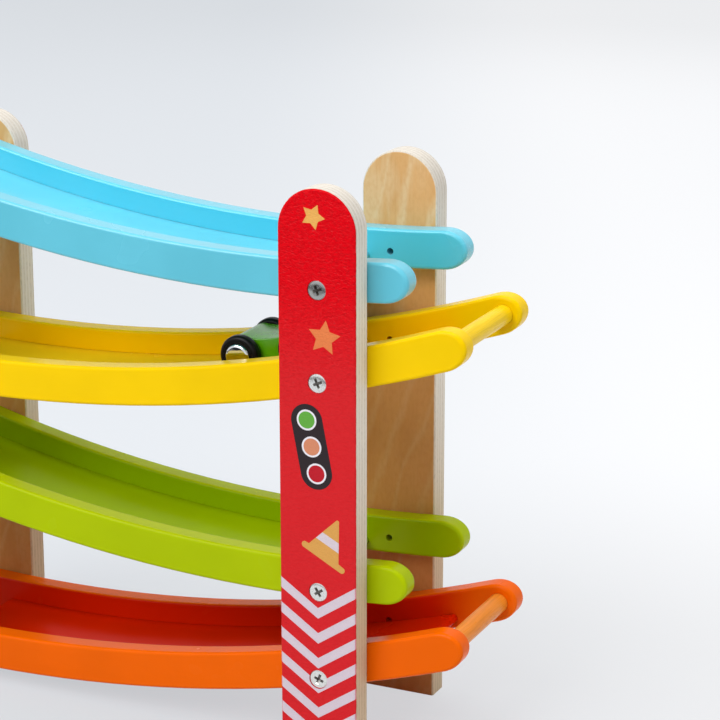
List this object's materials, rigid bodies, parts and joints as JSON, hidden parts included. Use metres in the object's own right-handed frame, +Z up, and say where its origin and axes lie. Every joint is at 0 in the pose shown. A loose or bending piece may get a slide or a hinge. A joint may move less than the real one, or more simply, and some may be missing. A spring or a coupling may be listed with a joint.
{
  "type": "click clack track toy",
  "caption": "Wooden zigzag ramp for a toy car: curved painted tracks fall to alternate sides between plywood posts with round tops, and a waisted car rolls on steel axles.",
  "frame": {"origin": "on the ground, midway between the four posts", "axes": "+X to the right along the tracks, with the top track falling to the right; +Y from the front to the rear; +Z up"},
  "size_m": [0.3494, 0.098, 0.268],
  "materials": {
    "post_paint": "satin paint on plywood, bare veneer inside",
    "screw_steel": "zinc plated",
    "blue_rail_paint": "satin paint",
    "blue_floor_paint": "satin paint",
    "blue_dowel_paint": "satin paint",
    "yellow_rail_paint": "satin paint",
    "yellow_floor_paint": "satin paint",
    "yellow_dowel_paint": "satin paint",
    "green_rail_paint": "satin paint",
    "green_floor_paint": "satin paint",
    "green_dowel_paint": "satin paint",
    "orange_rail_paint": "satin paint",
    "orange_floor_paint": "satin paint",
    "orange_dowel_paint": "satin paint",
    "car_paint": "gloss paint",
    "axle_steel": "plain",
    "tyre": "satin",
    "cap_chrome": "polished"
  },
  "bodies": {
    "frame": {"front_left_post": "post_paint", "front_right_post": "post_paint", "rear_left_post": "post_paint", "rear_right_post": "post_paint", "front_left_screws": "screw_steel", "front_right_screws": "screw_steel", "rear_left_screws": "screw_steel", "rear_right_screws": "screw_steel", "blue_front_rail": "blue_rail_paint", "blue_rear_rail": "blue_rail_paint", "yellow_front_rail": "yellow_rail_paint", "yellow_rear_rail": "yellow_rail_paint", "green_front_rail": "green_rail_paint", "green_rear_rail": "green_rail_paint", "orange_front_rail": "orange_rail_paint", "orange_rear_rail": "orange_rail_paint", "blue_floor": "blue_floor_paint", "yellow_floor": "yellow_floor_paint", "green_floor": "green_floor_paint", "orange_floor": "orange_floor_paint", "blue_stop_dowel": "blue_dowel_paint", "yellow_stop_dowel": "yellow_dowel_paint", "green_stop_dowel": "green_dowel_paint", "orange_stop_dowel": "orange_dowel_paint"},
    "car": {"car_body": "car_paint"},
    "front_wheelset": {"car_front_axle": "axle_steel", "car_front_left_wheel": "tyre", "car_front_right_wheel": "tyre", "car_front_left_cap": "cap_chrome", "car_front_right_cap": "cap_chrome"},
    "rear_wheelset": {"car_rear_axle": "axle_steel", "car_rear_left_wheel": "tyre", "car_rear_right_wheel": "tyre", "car_rear_left_cap": "cap_chrome", "car_rear_right_cap": "cap_chrome"}
  },
  "joints": [
    {"name": "car_roll", "type": "hinge", "parent": "frame", "child": "car", "pos_m": [-0.076, 0, 0.8835], "axis": [0, 1, 0], "range_deg": [-4.3, 12.2]},
    {"name": "front_wheel_spin", "type": "hinge", "parent": "car", "child": "front_wheelset", "pos_m": [0.05681, 0, 0.17387], "axis": [0, 1, 0], "continuous": true},
    {"name": "rear_wheel_spin", "type": "hinge", "parent": "car", "child": "rear_wheelset", "pos_m": [0.08579, 0, 0.17991], "axis": [0, 1, 0], "continuous": true}
  ],
  "couplings": [
    {"joint": "front_wheel_spin", "follows": "car_roll", "ratio": -77.026},
    {"joint": "rear_wheel_spin", "follows": "car_roll", "ratio": -77.026}
  ]
}
